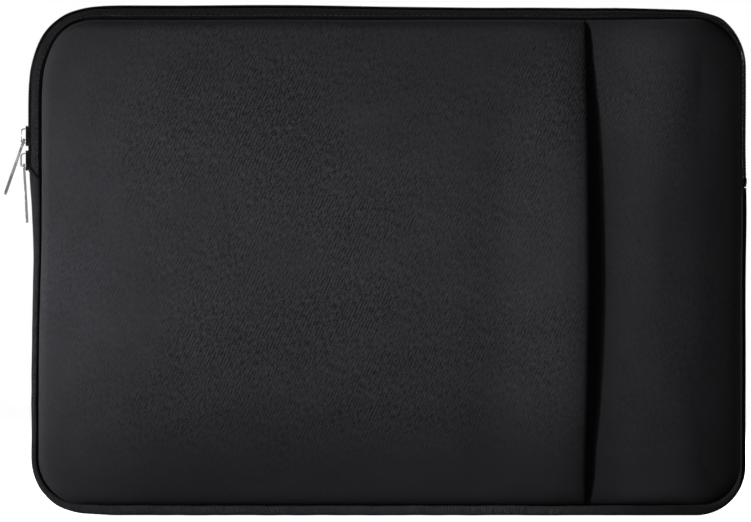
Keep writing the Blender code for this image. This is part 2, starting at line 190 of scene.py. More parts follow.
def stray_up(x, z):
    """How far points stray up: the top rises at the left, dips at the right, and the foot lifts."""
    top = smooth(z, 200 * MM, 262 * MM) * (0.7 * MM * smooth(x, 110 * MM, 175 * MM) - 0.6 * MM)
    slope = 1.35 * MM - 1.4 * MM * smooth(x, -60 * MM, 60 * MM)
    slope = slope - 1.75 * MM * smooth(x, 115 * MM, 170 * MM)
    slope = slope - 1.2 * MM * bump(x, -166 * MM, 13 * MM)
    foot = 0.8 * MM * (1 - smooth(z, 2 * MM, 9 * MM)) * bump(x, -165 * MM, 12 * MM)
    return top + smooth(z, 264.5 * MM, 271.5 * MM) * slope + foot


def stray_right(x, y, z):
    """How far points stray right: the left seam, the top left corner and the sides' outer edges."""
    depth = edge_distance(ZIP_RIDGE, x, z)
    seam = 1.5 * MM * smooth(z, 90 * MM, 160 * MM) - 0.3 * MM * (1 - smooth(z, 30 * MM, 100 * MM))
    seam = seam * smooth(depth, 2.7 * MM, 5.7 * MM)
    # The ledge of tape that the sliders run on keeps its place up to the end of their run
    ledge = smooth(depth, 1.2 * MM, 2.0 * MM) * (1 - smooth(depth, 3.3 * MM, 4.5 * MM))
    ledge = ledge * (1 - smooth(np.abs(y), 5.5 * MM, 7.8 * MM))
    corner = 1.5 * MM * bump(z, 246 * MM, 13 * MM) * (1 - ledge)
    corner = corner + 1.4 * MM * bump(z, 251.5 * MM, 9 * MM) * ledge
    outer_left = 1.0 * MM * bump(z, 143 * MM, 26 * MM) + 0.3 * MM * bump(z, 105 * MM, 30 * MM)
    outer_right = 0.5 * MM * bump(z, 165 * MM, 22 * MM)
    return (
        smooth(-x, 165 * MM, 188 * MM) * (seam + corner)
        + smooth(-x, 186 * MM, 190 * MM) * outer_left
        + smooth(x, 170 * MM, 190 * MM) * outer_right
    )


def settle(points):
    """Moves points as sewn fabric strays from its pattern. The waves fade out by the sliders."""
    x, y, z = points[:, 0], points[:, 1], points[:, 2]
    run = smooth(z, 145 * MM, 178 * MM) * (1 - smooth(z, 241 * MM, 262 * MM))
    free = 1 - bump(x, -193 * MM, 20 * MM) * run
    flat = np.column_stack((x, 0.3 * y, z))
    moved = points.copy()
    moved[:, 0] += stray_right(x, y, z)
    moved[:, 2] += stray_up(x, z)
    moved[:, 0] += 0.25 * MM * noise_at(flat, 45 * MM, 1) * free
    moved[:, 2] += 0.25 * MM * noise_at(flat, 45 * MM, 2) * free * smooth(z, 4 * MM, 30 * MM)
    moved[:, 1] += 0.5 * MM * noise_at(flat, 70 * MM, 3) * free * smooth(z, 4 * MM, 60 * MM)
    moved[:, 1] *= 1 - PINCH * smooth(x, 100 * MM, 190 * MM)
    proud = np.maximum(np.abs(moved[:, 1]) - 3.4 * MM, 0) * smooth(x, 188.6 * MM, 190.2 * MM)
    moved[:, 1] -= 0.75 * proud * np.sign(moved[:, 1])
    return moved


# ---- Meshes ----


def in_scene(name, data):
    obj = bpy.data.objects.new(name, data)
    bpy.context.scene.collection.objects.link(obj)
    return obj


def make_object(name, points, faces, weave, material):
    """A smooth-shaded object whose weave attribute says where each point lies on its flat cloth.

    The attribute's first two numbers are the place on the cloth, u and v, and the third is the
    distance from the nearest seam.
    """
    mesh = bpy.data.meshes.new(name)
    mesh.from_pydata([tuple(p) for p in points], [], faces)
    attribute = mesh.attributes.new("weave", "FLOAT_VECTOR", "POINT")
    attribute.data.foreach_set("vector", np.asarray(weave, np.float32).ravel())
    mesh.materials.append(material)
    mesh.shade_smooth()
    obj = in_scene(name, mesh)
    return obj


@contextmanager
def edited(obj):
    """The object's mesh as a bmesh, which is written back afterwards."""
    bm = bmesh.new()
    bm.from_mesh(obj.data)
    yield bm
    bm.to_mesh(obj.data)
    bm.free()


def cut(bm, place, direction, dist, clear_outer=False):
    """Cuts an edge loop through a mesh along a plane."""
    everything = bm.verts[:] + bm.edges[:] + bm.faces[:]
    bmesh.ops.bisect_plane(
        bm, geom=everything, plane_co=place, plane_no=direction, dist=dist, clear_outer=clear_outer
    )


def face_out(obj, centre):
    """Turns every face of a sheet the same way, away from the centre."""
    with edited(obj) as bm:
        bmesh.ops.recalc_face_normals(bm, faces=bm.faces[:])
        away = 0.0
        for f in bm.faces:
            away += f.normal.dot(f.calc_center_median() - Vector(centre)) * f.calc_area()
        if away < 0:
            bmesh.ops.reverse_faces(bm, faces=bm.faces[:])


def cut_rows(obj):
    """Adds level edge loops, so that the fold bends smoothly."""
    with edited(obj) as bm:
        for height in FOLD_ROWS:
            cut(bm, (0, 0, height), (0, 0, 1), 1e-6)


def coords(obj):
    flat = np.empty(len(obj.data.vertices) * 3)
    obj.data.vertices.foreach_get("co", flat)
    return flat.reshape(-1, 3)


def set_coords(obj, points):
    obj.data.vertices.foreach_set("co", np.ascontiguousarray(points, np.float32).ravel())
    obj.data.update()


def solidify(obj, thickness):
    """Gives a sheet its thickness, away from the side that its faces look to."""
    modifier = obj.modifiers.new("thickness", "SOLIDIFY")
    modifier.thickness = thickness
    modifier.offset = -1
    modifier.use_even_offset = True
    modifier.thickness_clamp = 1.0


def carried(obj, *replaced, folds=False):
    """Makes a piece ride on the sleeve or bakes a folding one's place in, and hides its CAD nodes.
    """
    if folds:
        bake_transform(obj)
    else:
        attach(obj, SLEEVE)
    if replaced:
        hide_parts(*replaced)


STRIP_INSET = 1.2 * MM  # the distance from a seam that a strip's weave gives all over


def sweep(name, path, outline, profile, material):
    """A closed strip with a profile of (share from seam to outline, outward offset, depth)."""
    profile = np.array(profile)
    count = len(profile)
    steps = np.diff(profile, axis=0)
    widths = np.cumsum(np.hypot(steps[:, 1], steps[:, 2]) + 2 * MM * np.abs(steps[:, 0]))
    widths = np.concatenate(([0], widths))
    points, weave, length, last = [], [], 0.0, None
    for station in path:
        (sx, sz), _ = place(SEAM, station)
        (ex, ez), (nx, nz) = place(outline, station)
        if last is not None:
            length += math.dist(last, (ex, ez))
        last = (ex, ez)
        for (share, offset, depth), width in zip(profile, widths):
            x = sx + (ex - sx) * share + nx * offset
            z = sz + (ez - sz) * share + nz * offset
            points.append((x, depth, z))
            weave.append((length, width, STRIP_INSET))
    faces = []
    for i in range(len(path) - 1):
        for j in range(count):
            k = (j + 1) % count
            faces.append((i * count + j, i * count + k, (i + 1) * count + k, (i + 1) * count + j))
    faces.append(tuple(range(count)))
    faces.append(tuple((len(path) - 1) * count + j for j in reversed(range(count))))
    obj = make_object(name, settle(np.array(points)), faces, weave, material)
    with edited(obj) as bm:
        bmesh.ops.recalc_face_normals(bm, faces=bm.faces[:])
    return obj


# A sheet's rings at its edge, in mm from the seam, and its steps along sides and corners
RIM_INSETS = [0.3, 0.7, 1.2, 1.8, 2.6, 3.6, 5.0, 7.0, 9.5, 12.5, 16.0, 20.0]
LAYER_INSETS = [0, 2, 6, 12, 20]
SIDE_STEPS = (84, 56)
CORNER_STEPS = 10


def ring_stations():
    """Stations round an outline from mid-corner at the bottom left, and where each side starts."""
    across, up = SIDE_STEPS

    def half(corner, start):
        return arc(corner, start, start + 45, CORNER_STEPS // 2)

    bottom = half("bl", 225) + run("bottom", 0, 1, across) + half("br", 270)[:-1]
    right = half("br", 315) + run("right_share", 0, 1, up) + half("tr", 0)[:-1]
    top = half("tr", 45) + run("top", 1, 0, across) + half("tl", 90)[:-1]
    left = half("tl", 135) + run("left_share", 1, 0, up) + half("bl", 180)[:-1]
    sides = [bottom, right, top, left]
    return sum(sides, []), np.cumsum([0] + [len(s) for s in sides])


def sheet_points(outline, insets):
    """Rings of (x, z) at each inset, a grid that fills the last one, and the faces between."""
    stations, starts = ring_stations()
    total = len(stations)
    points = []
    for inset in insets:
        ring = inset_outline(outline, inset)
        points += [place(ring, s)[0] for s in stations]
    faces = []
    for k in range(len(insets) - 1):
        for j in range(total):
            n = (j + 1) % total
            faces.append((k * total + j, k * total + n, (k + 1) * total + n, (k + 1) * total + j))
    base = (len(insets) - 1) * total
    across, up = starts[1] - starts[0], starts[2] - starts[1]
    index = np.zeros((up + 1, across + 1), int)
    index[0, :] = base + starts[0] + np.arange(across + 1)
    index[:, across] = base + starts[1] + np.arange(up + 1)
    index[up, ::-1] = base + starts[2] + np.arange(across + 1)
    index[::-1, 0] = base + (starts[3] + np.arange(up + 1)) % total
    edge = np.array(points)
    for i in range(1, up):
        v = i / up
        for j in range(1, across):
            u = j / across
            low, high = edge[index[0, j]], edge[index[up, j]]
            near, far = edge[index[i, 0]], edge[index[i, across]]
            corners = (1 - u) * (1 - v) * edge[index[0, 0]] + u * (1 - v) * edge[index[0, across]]
            corners = corners + (1 - u) * v * edge[index[up, 0]] + u * v * edge[index[up, across]]
            points.append(tuple((1 - v) * low + v * high + (1 - u) * near + u * far - corners))
            index[i, j] = len(points) - 1
    for i in range(up):
        for j in range(across):
            faces.append((index[i, j], index[i, j + 1], index[i + 1, j + 1], index[i + 1, j]))
    return np.array(points), [tuple(int(i) for i in f) for f in faces]


def edge_distance(outline, x, z):
    """How far inside a rounded outline each point is."""
    left, right, bottom, top, radii = outline
    distance = np.minimum(np.minimum(x - left, right - x), np.minimum(z - bottom, top - z))
    for side, end, corner in CORNER_SIDES.values():
        radius = radii[corner]
        dx = (outline[side] + radius - x) if side == 0 else (x - outline[side] + radius)
        dz = (outline[end] + radius - z) if end == 2 else (z - outline[end] + radius)
        inside = (dx > 0) & (dz > 0)
        distance = np.where(inside, radius - np.hypot(dx, dz), distance)
    return np.maximum(distance, 0)


def sheet(name, outline, insets, depth, side, material):
    """A sheet of cloth over an outline. side is -1 for the front.

    depth(x, z, distance) says how far the sheet stands from the sleeve's middle, at a distance from
    its edge.
    """
    flat, faces = sheet_points(outline, [i * MM for i in insets])
    x, z = flat[:, 0], flat[:, 1]
    distance = edge_distance(outline, x, z)
    y = side * depth(x, z, distance)
    points = np.column_stack((x, y, z))
    weave = np.column_stack((x, z, distance))
    obj = make_object(name, points, faces, weave, material)
    face_out(obj, (0, -10 * side, 0.135))
    return obj


# ---- Cloth simulation ----


CLOTH_FRAMES = 20
CLOTH_SETTINGS = {
    "quality": 5,
    "mass": 0.3,
    "tension_stiffness": 40,
    "compression_stiffness": 40,
    "shear_stiffness": 20,
    "bending_stiffness": 8,
    "use_pressure": True,
}


def fill_out(obj, pressure, most, hem_x=None):
    """Lets the padding push a wall out as cloth that is held along its seams.

    No point moves further than most. hem_x is where a free edge ends, which is held too.
    """
    held = obj.vertex_groups.new(name="held")
    weave = np.empty(len(obj.data.vertices) * 3)
    obj.data.attributes["weave"].data.foreach_get("vector", weave)
    weight = 1 - smooth(weave.reshape(-1, 3)[:, 2], 1.5 * MM, 10 * MM)
    if hem_x is not None:
        weight = np.maximum(weight, smooth(coords(obj)[:, 0], hem_x - 70 * MM, hem_x - 6 * MM))
    for index, value in enumerate(weight):
        held.add([index], float(value), "REPLACE")
    cloth = obj.modifiers.new("cloth", "CLOTH")
    for key, value in CLOTH_SETTINGS.items():
        setattr(cloth.settings, key, value)
    cloth.settings.uniform_pressure_force = pressure
    cloth.settings.vertex_group_mass = "held"
    cloth.settings.effector_weights.gravity = 0
    cloth.collision_settings.use_collision = False
    cloth.point_cache.frame_start, cloth.point_cache.frame_end = 1, CLOTH_FRAMES
    scene = bpy.context.scene
    for number in range(1, CLOTH_FRAMES + 1):
        scene.frame_set(number)
    evaluated = obj.evaluated_get(bpy.context.evaluated_depsgraph_get())
    before, after = coords(obj), coords(evaluated)
    move = after - before
    length = np.linalg.norm(move, axis=1, keepdims=True)
    obj.modifiers.remove(cloth)
    obj.vertex_groups.remove(held)
    set_coords(obj, before + move * most / np.maximum(length, most))
    scene.frame_set(1)
    print(obj.name, "moved up to", round(float(length.max()) / MM, 2), "mm")


# ---- Node materials ----


class Nodes:
    """Short ways to wire one material."""

    def __init__(self, name):
        self.material = bpy.data.materials.new(name)
        self.material.use_nodes = True
        self.tree = self.material.node_tree
        self.shader = self.tree.nodes["Principled BSDF"]

    def node(self, kind, **settings):
        made = self.tree.nodes.new(kind)
        for key, value in settings.items():
            setattr(made, key, value)
        return made

    def put(self, socket, value):
        if isinstance(value, bpy.types.NodeSocket):
            self.tree.links.new(value, socket)
        else:
            socket.default_value = value

    def math(self, operation, a, b=0.0, c=0.0, clamp=False):
        made = self.node("ShaderNodeMath", operation=operation, use_clamp=clamp)
        for socket, value in zip(made.inputs, (a, b, c)):
            self.put(socket, value)
        return made.outputs[0]

    def total(self, first, *rest):
        for value in rest:
            first = self.math("ADD", first, value)
        return first

    def times(self, first, *rest):
        for value in rest:
            first = self.math("MULTIPLY", first, value)
        return first

    def line(self, value, gain, offset, clamp=False):
        return self.math("MULTIPLY_ADD", value, gain, offset, clamp)

    def clamped(self, value):
        return self.math("ADD", value, 0.0, clamp=True)

    def fade(self, distance, reach):
        """From 1 at no distance to 1/e at a reach."""
        return self.math("POWER", math.e, self.times(distance, -1 / reach))

    def wave(self, position, period):
        """A sine of a position in metres, from -1 to 1."""
        return self.math("SINE", self.times(position, 2 * math.pi / period))

    def noise(self, vector, size, detail=2.0, roughness=0.5):
        """Noise from 0 to 1 whose blotches are about size metres across."""
        made = self.node("ShaderNodeTexNoise")
        self.put(made.inputs["Vector"], vector)
        made.inputs["Scale"].default_value = 1 / size
        made.inputs["Detail"].default_value = detail
        made.inputs["Roughness"].default_value = roughness
        return made.outputs["Fac"]

    def stray(self, vector, size, detail=2.0, roughness=0.5):
        """Noise about 0, from -0.5 to 0.5."""
        return self.math("SUBTRACT", self.noise(vector, size, detail, roughness), 0.5)

    def ramp(self, value, low, high, start, end):
        """An eased step from start to end as the value goes from low to high."""
        made = self.node("ShaderNodeMapRange", interpolation_type="SMOOTHSTEP")
        numbers = {"From Min": low, "From Max": high, "To Min": start, "To Max": end}
        for name, number in numbers.items():
            made.inputs[name].default_value = number
        self.put(made.inputs["Value"], value)
        return made.outputs["Result"]

    def ramps(self, u, v, steps):
        """The product of ramps along u or v, each as axis, low and high in mm, start and end."""
        made = [
            self.ramp(u if axis == "u" else v, low * MM, high * MM, start, end)
            for axis, low, high, start, end in steps
        ]
        return self.times(*made)

    def weave(self):
        """The weave attribute's vector and its three numbers."""
        attribute = self.node(
            "ShaderNodeAttribute", attribute_name="weave", attribute_type="GEOMETRY"
        )
        parts = self.node("ShaderNodeSeparateXYZ")
        self.put(parts.inputs[0], attribute.outputs["Vector"])
        return attribute.outputs["Vector"], parts.outputs[0], parts.outputs[1], parts.outputs[2]

    def colour(self, dark, light, factor, shade=1.0):
        """A colour between dark and light, made darker or paler by a shade."""
        mix = self.node("ShaderNodeMix", data_type="RGBA")
        self.put(mix.inputs["Factor"], factor)
        mix.inputs["A"].default_value = (*dark, 1)
        mix.inputs["B"].default_value = (*light, 1)
        shaded = self.node("ShaderNodeVectorMath", operation="SCALE")
        self.put(shaded.inputs[0], mix.outputs["Result"])
        self.put(shaded.inputs["Scale"], shade)
        self.put(self.shader.inputs["Base Color"], shaded.outputs[0])

    def bump(self, height, distance, strength=1.0):
        made = self.node("ShaderNodeBump")
        made.inputs["Strength"].default_value = strength
        made.inputs["Distance"].default_value = distance
        self.put(made.inputs["Height"], height)
        self.put(self.shader.inputs["Normal"], made.outputs["Normal"])

    def constant(self, **values):
        for key, value in values.items():
            self.shader.inputs[key.replace("_", " ")].default_value = value


TWILL_PERIOD = 1.6 * MM
TWILL_SLOPE = math.radians(66)
KNIT_DARK, KNIT_LIGHT = (0.0110, 0.0109, 0.0119), (0.0440, 0.0437, 0.0476)

# How the strength of the knit's marks changes over a wall. u is X and v is height.
WALL_TEXTURE = (
    ("u", -190, -60, 0.3, 1.5),
    ("u", -45, 50, 1.0, 0.55),
    ("u", 60, 95, 1.0, 1.35),
    ("v", 18, 66, 0.2, 1.0),
    ("v", 222, 256, 1.0, 0.62),
)


def neoprene(name, contrast, shading=None, wall=True):
    """Black knit face: steep broken twill ribs, short dashes, knots, fuzz and soft blotches.

    It is paler near its seams, and painted shade darkens the crease of a seam. shading makes a
    factor of painted light and shade for its colour from the nodes, u and v. A wall's marks
    change in strength over it.
    """
    n = Nodes(name)
    vector, u, v, distance = n.weave()
    sine, cosine = math.sin(TWILL_SLOPE), math.cos(TWILL_SLOPE)
    across = n.line(u, sine, n.times(v, -cosine))
    along = n.line(u, cosine, n.times(v, sine))
    ribs = n.wave(n.total(across, n.times(n.noise(vector, 11 * MM), 1.1 * MM)), TWILL_PERIOD)
    ribs = n.times(ribs, n.line(n.noise(vector, 13 * MM), 2.4, -0.55, clamp=True))
    combine = n.node("ShaderNodeCombineXYZ")
    n.put(combine.inputs[0], across)
    n.put(combine.inputs[1], n.times(along, 0.32))
    slanted = combine.outputs[0]
    dashes = n.stray(slanted, 0.95 * MM, 2.0, 0.6)
    knots = n.stray(vector, 0.8 * MM, 2.0, 0.6)
    fuzz = n.stray(vector, 0.35 * MM, 2.0, 0.7)
    pits = n.line(n.noise(slanted, 1.3 * MM, 1.0), 7.0, -4.4, clamp=True)
    blotches = n.stray(vector, 30 * MM)
    marks = n.total(
        n.times(ribs, 0.38),
        n.times(dashes, 3.4),
        n.times(knots, 2.6),
        n.times(fuzz, 0.8),
        n.times(pits, -0.6),
    )
    strength = n.line(n.noise(vector, 75 * MM, 1.0), 2.4 * contrast, -0.3 * contrast)
    if wall:
        strength = n.times(strength, n.ramps(u, v, WALL_TEXTURE))
    # Paler within a couple of millimetres of every seam
    paler_near_seams = n.times(n.fade(distance, 2 * MM), 0.1)
    tone = n.total(n.times(marks, strength), n.line(blotches, 0.35, 0.47), paler_near_seams)
    # Painted shade in the crease of each seam
    shade = n.line(n.fade(distance, 0.385 * MM), -0.7, 1.0)
    # shading adds the piece's own painted light and shade
    if shading:
        shade = n.times(shade, shading(n, u, v))
    n.colour(KNIT_DARK, KNIT_LIGHT, n.clamped(tone), shade)
    n.put(n.shader.inputs["Roughness"], n.line(fuzz, 0.2, 0.8))
    n.constant(Specular_IOR_Level=0.08, Sheen_Weight=0.03, Sheen_Roughness=0.5)
    height = n.total(n.times(ribs, 0.5), n.times(dashes, 1.6), knots, n.times(fuzz, 0.5))
    n.bump(n.times(height, strength), 0.13 * MM)
    return n.material


def pocket_painted_shade(n, u, v):
    """Painted shade darkens the pocket at its seams and along its bottom, most beside its mouth."""
    # Painted shade along the top and bottom seams
    turned = n.ramps(u, v, (("v", 257.5, 266, 1.0, 0.4), ("v", 6, 15, 0.8, 1.0)))
    # Painted shade along the bottom, from the left part and beside the mouth
    dim = n.ramp(v, 22 * MM, 70 * MM, 0.24, 0.0)
    reach = n.total(
        n.ramp(u, -170 * MM, -110 * MM, 0.0, 1.0), n.ramp(u, 40 * MM, 100 * MM, 0.0, 0.4)
    )
    return n.times(turned, n.math("SUBTRACT", 1.0, n.times(dim, reach)))


def front_painted_light(n, u, v):
    """Painted shade beside the pocket's mouth and at its seams; painted paler at its top."""
    # Painted shade along the top and bottom seams
    turned = n.ramps(u, v, (("v", 254, 268, 1.0, 0.62), ("v", 6, 15, 0.76, 1.0)))
    # Painted shade beside the pocket's mouth
    mouth = n.ramp(u, 112 * MM, 131 * MM, 0.7, 1.0)
    # Painted paler patch at the top beside the mouth
    top = n.ramps(u, v, (("v", 150, 235, 0.0, 0.5), ("u", 138, 185, 1.0, 0.0)))
    # Painted shade towards the right seam, less of it higher up
    seam = n.ramp(u, 152 * MM, 178 * MM, 1.0, 0.42)
    lifted = n.ramp(v, 165 * MM, 240 * MM, 0.0, 0.5)
    seam = n.line(n.math("SUBTRACT", 1.0, seam), lifted, seam)
    return n.times(n.total(mouth, top), seam, turned)


def strip_painted_light(n, u, v):
    """Painted light on the gusset strip: paler along the bottom, darker towards its right end."""
    return n.ramps(u, v, (("u", 155, 205, 0.68, 1.35), ("u", 425, 530, 1.0, 0.28)))


# Painted shade darkens the tape in the seam and towards the right; it is also darker over the
# ridge. v runs across it from the seam.
TAPE_SHADES = (("v", 1.0, 2.7, 0.15, 1.0), ("v", 4.4, 7.0, 1.0, 0.3), ("u", 350, 490, 1.0, 0.35))


def tape_cloth(name, tone):
    """Zip tape: a herringbone of fine diagonal threads in bands along the tape."""
    n = Nodes(name)
    vector, u, v, _ = n.weave()
    band = n.math("PINGPONG", v, 1.5 * MM)
    threads = n.wave(n.total(u, band), 0.75 * MM)
    cords = n.wave(v, 0.6 * MM)
    fuzz = n.noise(vector, 0.4 * MM, 3.0, 0.7)
    patches = n.noise(vector, 6 * MM, 2.0)
    knots = n.noise(vector, 1.1 * MM, 2.0, 0.6)
    factor = n.total(
        n.line(threads, 0.16, -1.45),
        n.times(fuzz, 0.3),
        n.times(knots, 3.5),
        n.times(patches, 0.25),
    )
    # Painted shade from TAPE_SHADES
    shade = n.ramps(u, v, TAPE_SHADES)
    n.colour(tuple(0.35 * t for t in tone), tone, n.clamped(factor), shade)
    n.constant(Roughness=0.85, Specular_IOR_Level=0.1, Sheen_Weight=0.02, Sheen_Roughness=0.5)
    height = n.total(threads, n.times(cords, 0.4), fuzz)
    n.bump(height, 0.07 * MM, 0.9)
    return n.material


def plush():
    """Short-pile lining: tufts that lean in patches."""
    n = Nodes("plush_pile")
    vector, *_ = n.weave()
    tufts = n.noise(vector, 0.9 * MM, 4.0, 0.75)
    lean = n.noise(vector, 16 * MM, 3.0, 0.6)
    n.colour((0.008, 0.008, 0.009), (0.034, 0.034, 0.037), n.line(tufts, 0.7, n.times(lean, 0.3)))
    n.constant(Roughness=0.95, Specular_IOR_Level=0.1, Sheen_Weight=0.35, Sheen_Roughness=0.35)
    n.bump(n.line(lean, 1.5, tufts), 0.35 * MM)
    return n.material


def foam():
    """Open-celled padding."""
    n = Nodes("padding_foam")
    vector, *_ = n.weave()
    cells = n.noise(vector, 0.8 * MM, 2.0, 0.6)
    n.colour((0.05, 0.05, 0.055), (0.13, 0.13, 0.14), cells)
    n.constant(Roughness=0.95, Specular_IOR_Level=0.1)
    n.bump(cells, 0.2 * MM)
    return n.material


def nylon():
    """Black coil teeth, a little glossy, rubbed paler in places."""
    n = Nodes("nylon_coil")
    vector, *_ = n.weave()
    rub = n.noise(vector, 1.2 * MM, 3.0, 0.6)
    n.colour((0.002, 0.002, 0.0022), (0.010, 0.010, 0.011), rub)
    n.put(n.shader.inputs["Roughness"], n.line(rub, 0.25, 0.6))
    n.constant(Specular_IOR_Level=0.03)
    n.bump(rub, 0.03 * MM, 0.6)
    return n.material


def thread():
    """Black sewing thread of twisted strands."""
    n = Nodes("sewing_thread")
    _, u, v, _ = n.weave()
    strands = n.wave(n.total(u, v), 0.32 * MM)
    n.colour((0.008, 0.008, 0.009), (0.036, 0.036, 0.038), n.line(strands, 0.4, 0.5))
    n.constant(Roughness=0.6, Specular_IOR_Level=0.3, Sheen_Weight=0.1)
    n.bump(strands, 0.05 * MM)
    return n.material


def plated(name, dull, bright):
    """Plated zinc with fine polishing marks, in patches between dull and bright."""
    n = Nodes(name)
    position = n.node("ShaderNodeTexCoord").outputs["Object"]
    stretch = n.node("ShaderNodeMapping")
    stretch.inputs["Scale"].default_value = (1, 1, 0.12)
    n.put(stretch.inputs["Vector"], position)
    marks = n.noise(stretch.outputs["Vector"], 0.25 * MM, 3.0, 0.6)
    patches = n.noise(position, 2.5 * MM, 2.0)
    n.colour(dull, bright, patches)
    n.put(n.shader.inputs["Roughness"], n.line(patches, 0.14, 0.10))
    n.constant(Metallic=1.0)
    n.bump(n.total(marks, patches), 0.012 * MM, 0.5)
    return n.material


def moulded_black():
    """Grainy moulded plastic."""
    n = Nodes("moulded_stop")
    position = n.node("ShaderNodeTexCoord").outputs["Object"]
    grain = n.noise(position, 0.6 * MM, 3.0, 0.6)
    n.colour((0.006, 0.006, 0.007), (0.018, 0.018, 0.020), grain)
    n.put(n.shader.inputs["Roughness"], n.line(grain, 0.2, 0.4))
    n.bump(grain, 0.05 * MM, 0.8)
    return n.material


# The pocket, front wall and strip get copies of the neoprene with painted light and shade of their
# own
NEOPRENE = neoprene("neoprene_face", 0.62)
NEOPRENE_POCKET = neoprene("neoprene_pocket", 0.62, pocket_painted_shade)
NEOPRENE_FRONT = neoprene("neoprene_front_wall", 0.27, front_painted_light)
NEOPRENE_STRIP = neoprene("neoprene_strip", 0.4, strip_painted_light, wall=False)
TAPE = tape_cloth("zip_tape_cloth", (0.017, 0.017, 0.018))
BINDING = tape_cloth("binding_cloth", (0.026, 0.026, 0.028))
PLUSH = plush()
FOAM = foam()
NYLON = nylon()
THREAD = thread()
NICKEL = plated("nickel_plate", (0.70, 0.69, 0.67), (0.88, 0.87, 0.85))
BLACK_METAL = plated("black_plate", (0.015, 0.015, 0.016), (0.045, 0.045, 0.046))
MOULDED = moulded_black()


# ---- Walls ----


def roll(distance, reach):
    """A rolled edge: steep at the seam and flat within a few reaches."""
    return 1 - np.exp(-distance / reach)


def edge_reach(x):
    """The rolled edge is tight at the left and softer at the right."""
    return 1.1 * MM + 1.2 * MM * smooth(x, 120 * MM, 185 * MM)


def back_depth(x, z, distance):
    crown = 0.6 * MM * roll(distance, 26 * MM)
    return SEAM_DEPTH + (SHELL_FACE - SEAM_DEPTH) * roll(distance, 1.3 * MM) + crown


def front_depth(x, z, distance):
    """The front wall dips behind the pocket's mouth, swells beside it and falls to the right."""
    to_right = SEAM[1] - x
    width = np.where(x < 152 * MM, 30 * MM, 22 * MM)
    high = 1 + 0.9 * smooth(z, 165 * MM, 250 * MM)
    swell = 2.1 * MM * high * np.exp(-(((x - 152 * MM) / width) ** 2))
    fall = 5.2 * MM * np.exp(-to_right / (14 * MM))
    edge = 1.4 * MM * np.exp(-distance / (12 * MM))
    height = SHELL_FACE - SEAM_DEPTH + 0.9 * MM + swell - fall - edge
    return SEAM_DEPTH + height * roll(distance, edge_reach(x))


def make_shells():
    back = sheet("back_panel", SEAM, RIM_INSETS, back_depth, 1, NEOPRENE)
    front = sheet("front_panel", SEAM, RIM_INSETS, front_depth, -1, NEOPRENE_FRONT)
    cut_rows(front)
    for obj, folds, replaced in (
        (back, False, ["back_shell"]),
        (front, True, ["front_shell_lower", "front_shell_flap"]),
    ):
        fill_out(obj, 3.0, 0.8 * MM)
        set_coords(obj, settle(coords(obj)))
        solidify(obj, SHELL_THICKNESS)
        carried(obj, *replaced, folds=folds)


def make_layer(name, side, behind, thickness, inset, material, replaced, inward):
    """A foam or lining layer behind its wall. An inward one looks into the compartment."""
    outline = inset_outline(SEAM, inset)
    wall = front_depth if side < 0 else back_depth

    def depth(x, z, distance):
        return np.minimum(wall(x, z, distance + 6 * MM), SHELL_FACE) - behind

    obj = sheet(name, outline, LAYER_INSETS, depth, side, material)
    if inward:
        obj.data.flip_normals()
    folds = side < 0
    if folds:
        cut_rows(obj)
    set_coords(obj, settle(coords(obj)))
    solidify(obj, thickness)
    carried(obj, *replaced, folds=folds)
    return obj


def make_layers():
    for side, wall, halves in ((1, "back", [""]), (-1, "front", ["_lower", "_flap"])):
        foams = [f"{wall}_foam{half}" for half in halves]
        name = f"{wall}_padding"
        pad = make_layer(name, side, 1.5 * MM, FOAM_THICKNESS, 3.4 * MM, FOAM, foams, False)
        linings = [f"{wall}_lining{half}" for half in halves]
        name = f"{wall}_pile_lining"
        make_layer(name, side, 4.9 * MM, LINING_THICKNESS, 1.6 * MM, PLUSH, linings, True)


# ---- Pocket ----


def mouth_height(x, z):
    """How far the pocket's outside stands from the front wall. It is most in mid-mouth."""
    _, _, bottom, top, _ = SEAM
    low, high = np.maximum(z - bottom, 0), np.maximum(top - z, 0)
    middle = 1.0
    for gap in (low, high):
        middle = middle * (1 - 0.28 * np.exp(-gap / (8 * MM)) - 0.60 * np.exp(-gap / (60 * MM)))
    across = 0.05 + 0.27 * smooth(x, -190 * MM, 60 * MM) + 0.68 * smooth(x, 52 * MM, 105 * MM)
    return POCKET_THICKNESS + 0.3 * MM + across * (POCKET_STAND - POCKET_THICKNESS) * middle


def pocket_depth(x, z, distance):
    edge = SEAM_DEPTH + 0.8 * MM
    inside = SHELL_FACE + 0.2 * MM + mouth_height(x, z) - 1.1 * MM * np.exp(-distance / (12 * MM))
    return edge + (inside - edge) * roll(distance, 1.15 * MM)


# Edge loops beside the mouth, in mm, and how wide the free edge's roll is
MOUTH_COLUMNS = (84, 87, 90, 92, 94, 96, 98, 99.5, 101, 102.2, 103.2, 104, 104.7, 105.2, 105.6)
MOUTH_ROLL = 17 * MM


